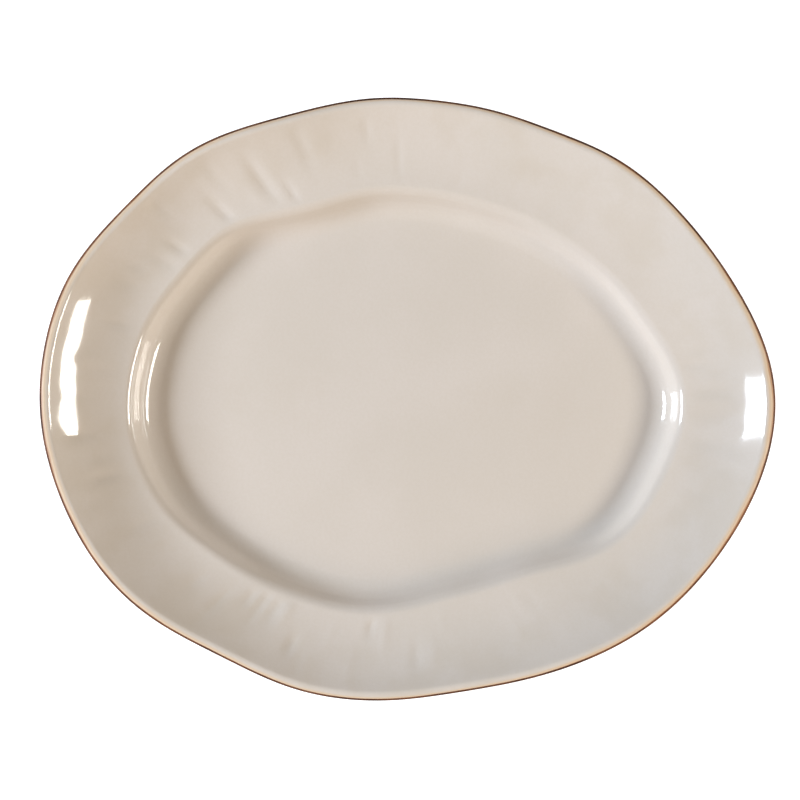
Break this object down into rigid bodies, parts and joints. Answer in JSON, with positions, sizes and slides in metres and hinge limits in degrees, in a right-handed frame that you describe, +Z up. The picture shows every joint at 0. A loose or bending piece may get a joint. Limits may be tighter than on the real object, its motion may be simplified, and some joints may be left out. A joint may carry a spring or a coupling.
{
  "type": "oval serving platter",
  "caption": "Hand-formed oval stoneware serving platter with a wide flange, a shallow oval well, a foot ring, cream glaze and an iron-brown lip.",
  "frame": {"origin": "centre of the platter's outline box, on the plane the foot ring stands on", "axes": "+X along the length, +Y across it, +Z up out of the eating side"},
  "size_m": [0.406, 0.333, 0.0473],
  "materials": {
    "stoneware": "matte",
    "bare_foot": "matte",
    "face_glaze": "gloss",
    "back_glaze": "gloss",
    "iron_edge": "satin"
  },
  "bodies": {
    "root": {"stoneware_body": "stoneware", "foot_ring": "bare_foot", "face_glaze": "face_glaze", "back_glaze": "back_glaze", "foot_well_glaze": "back_glaze", "rim_band": "iron_edge"}
  },
  "joints": []
}
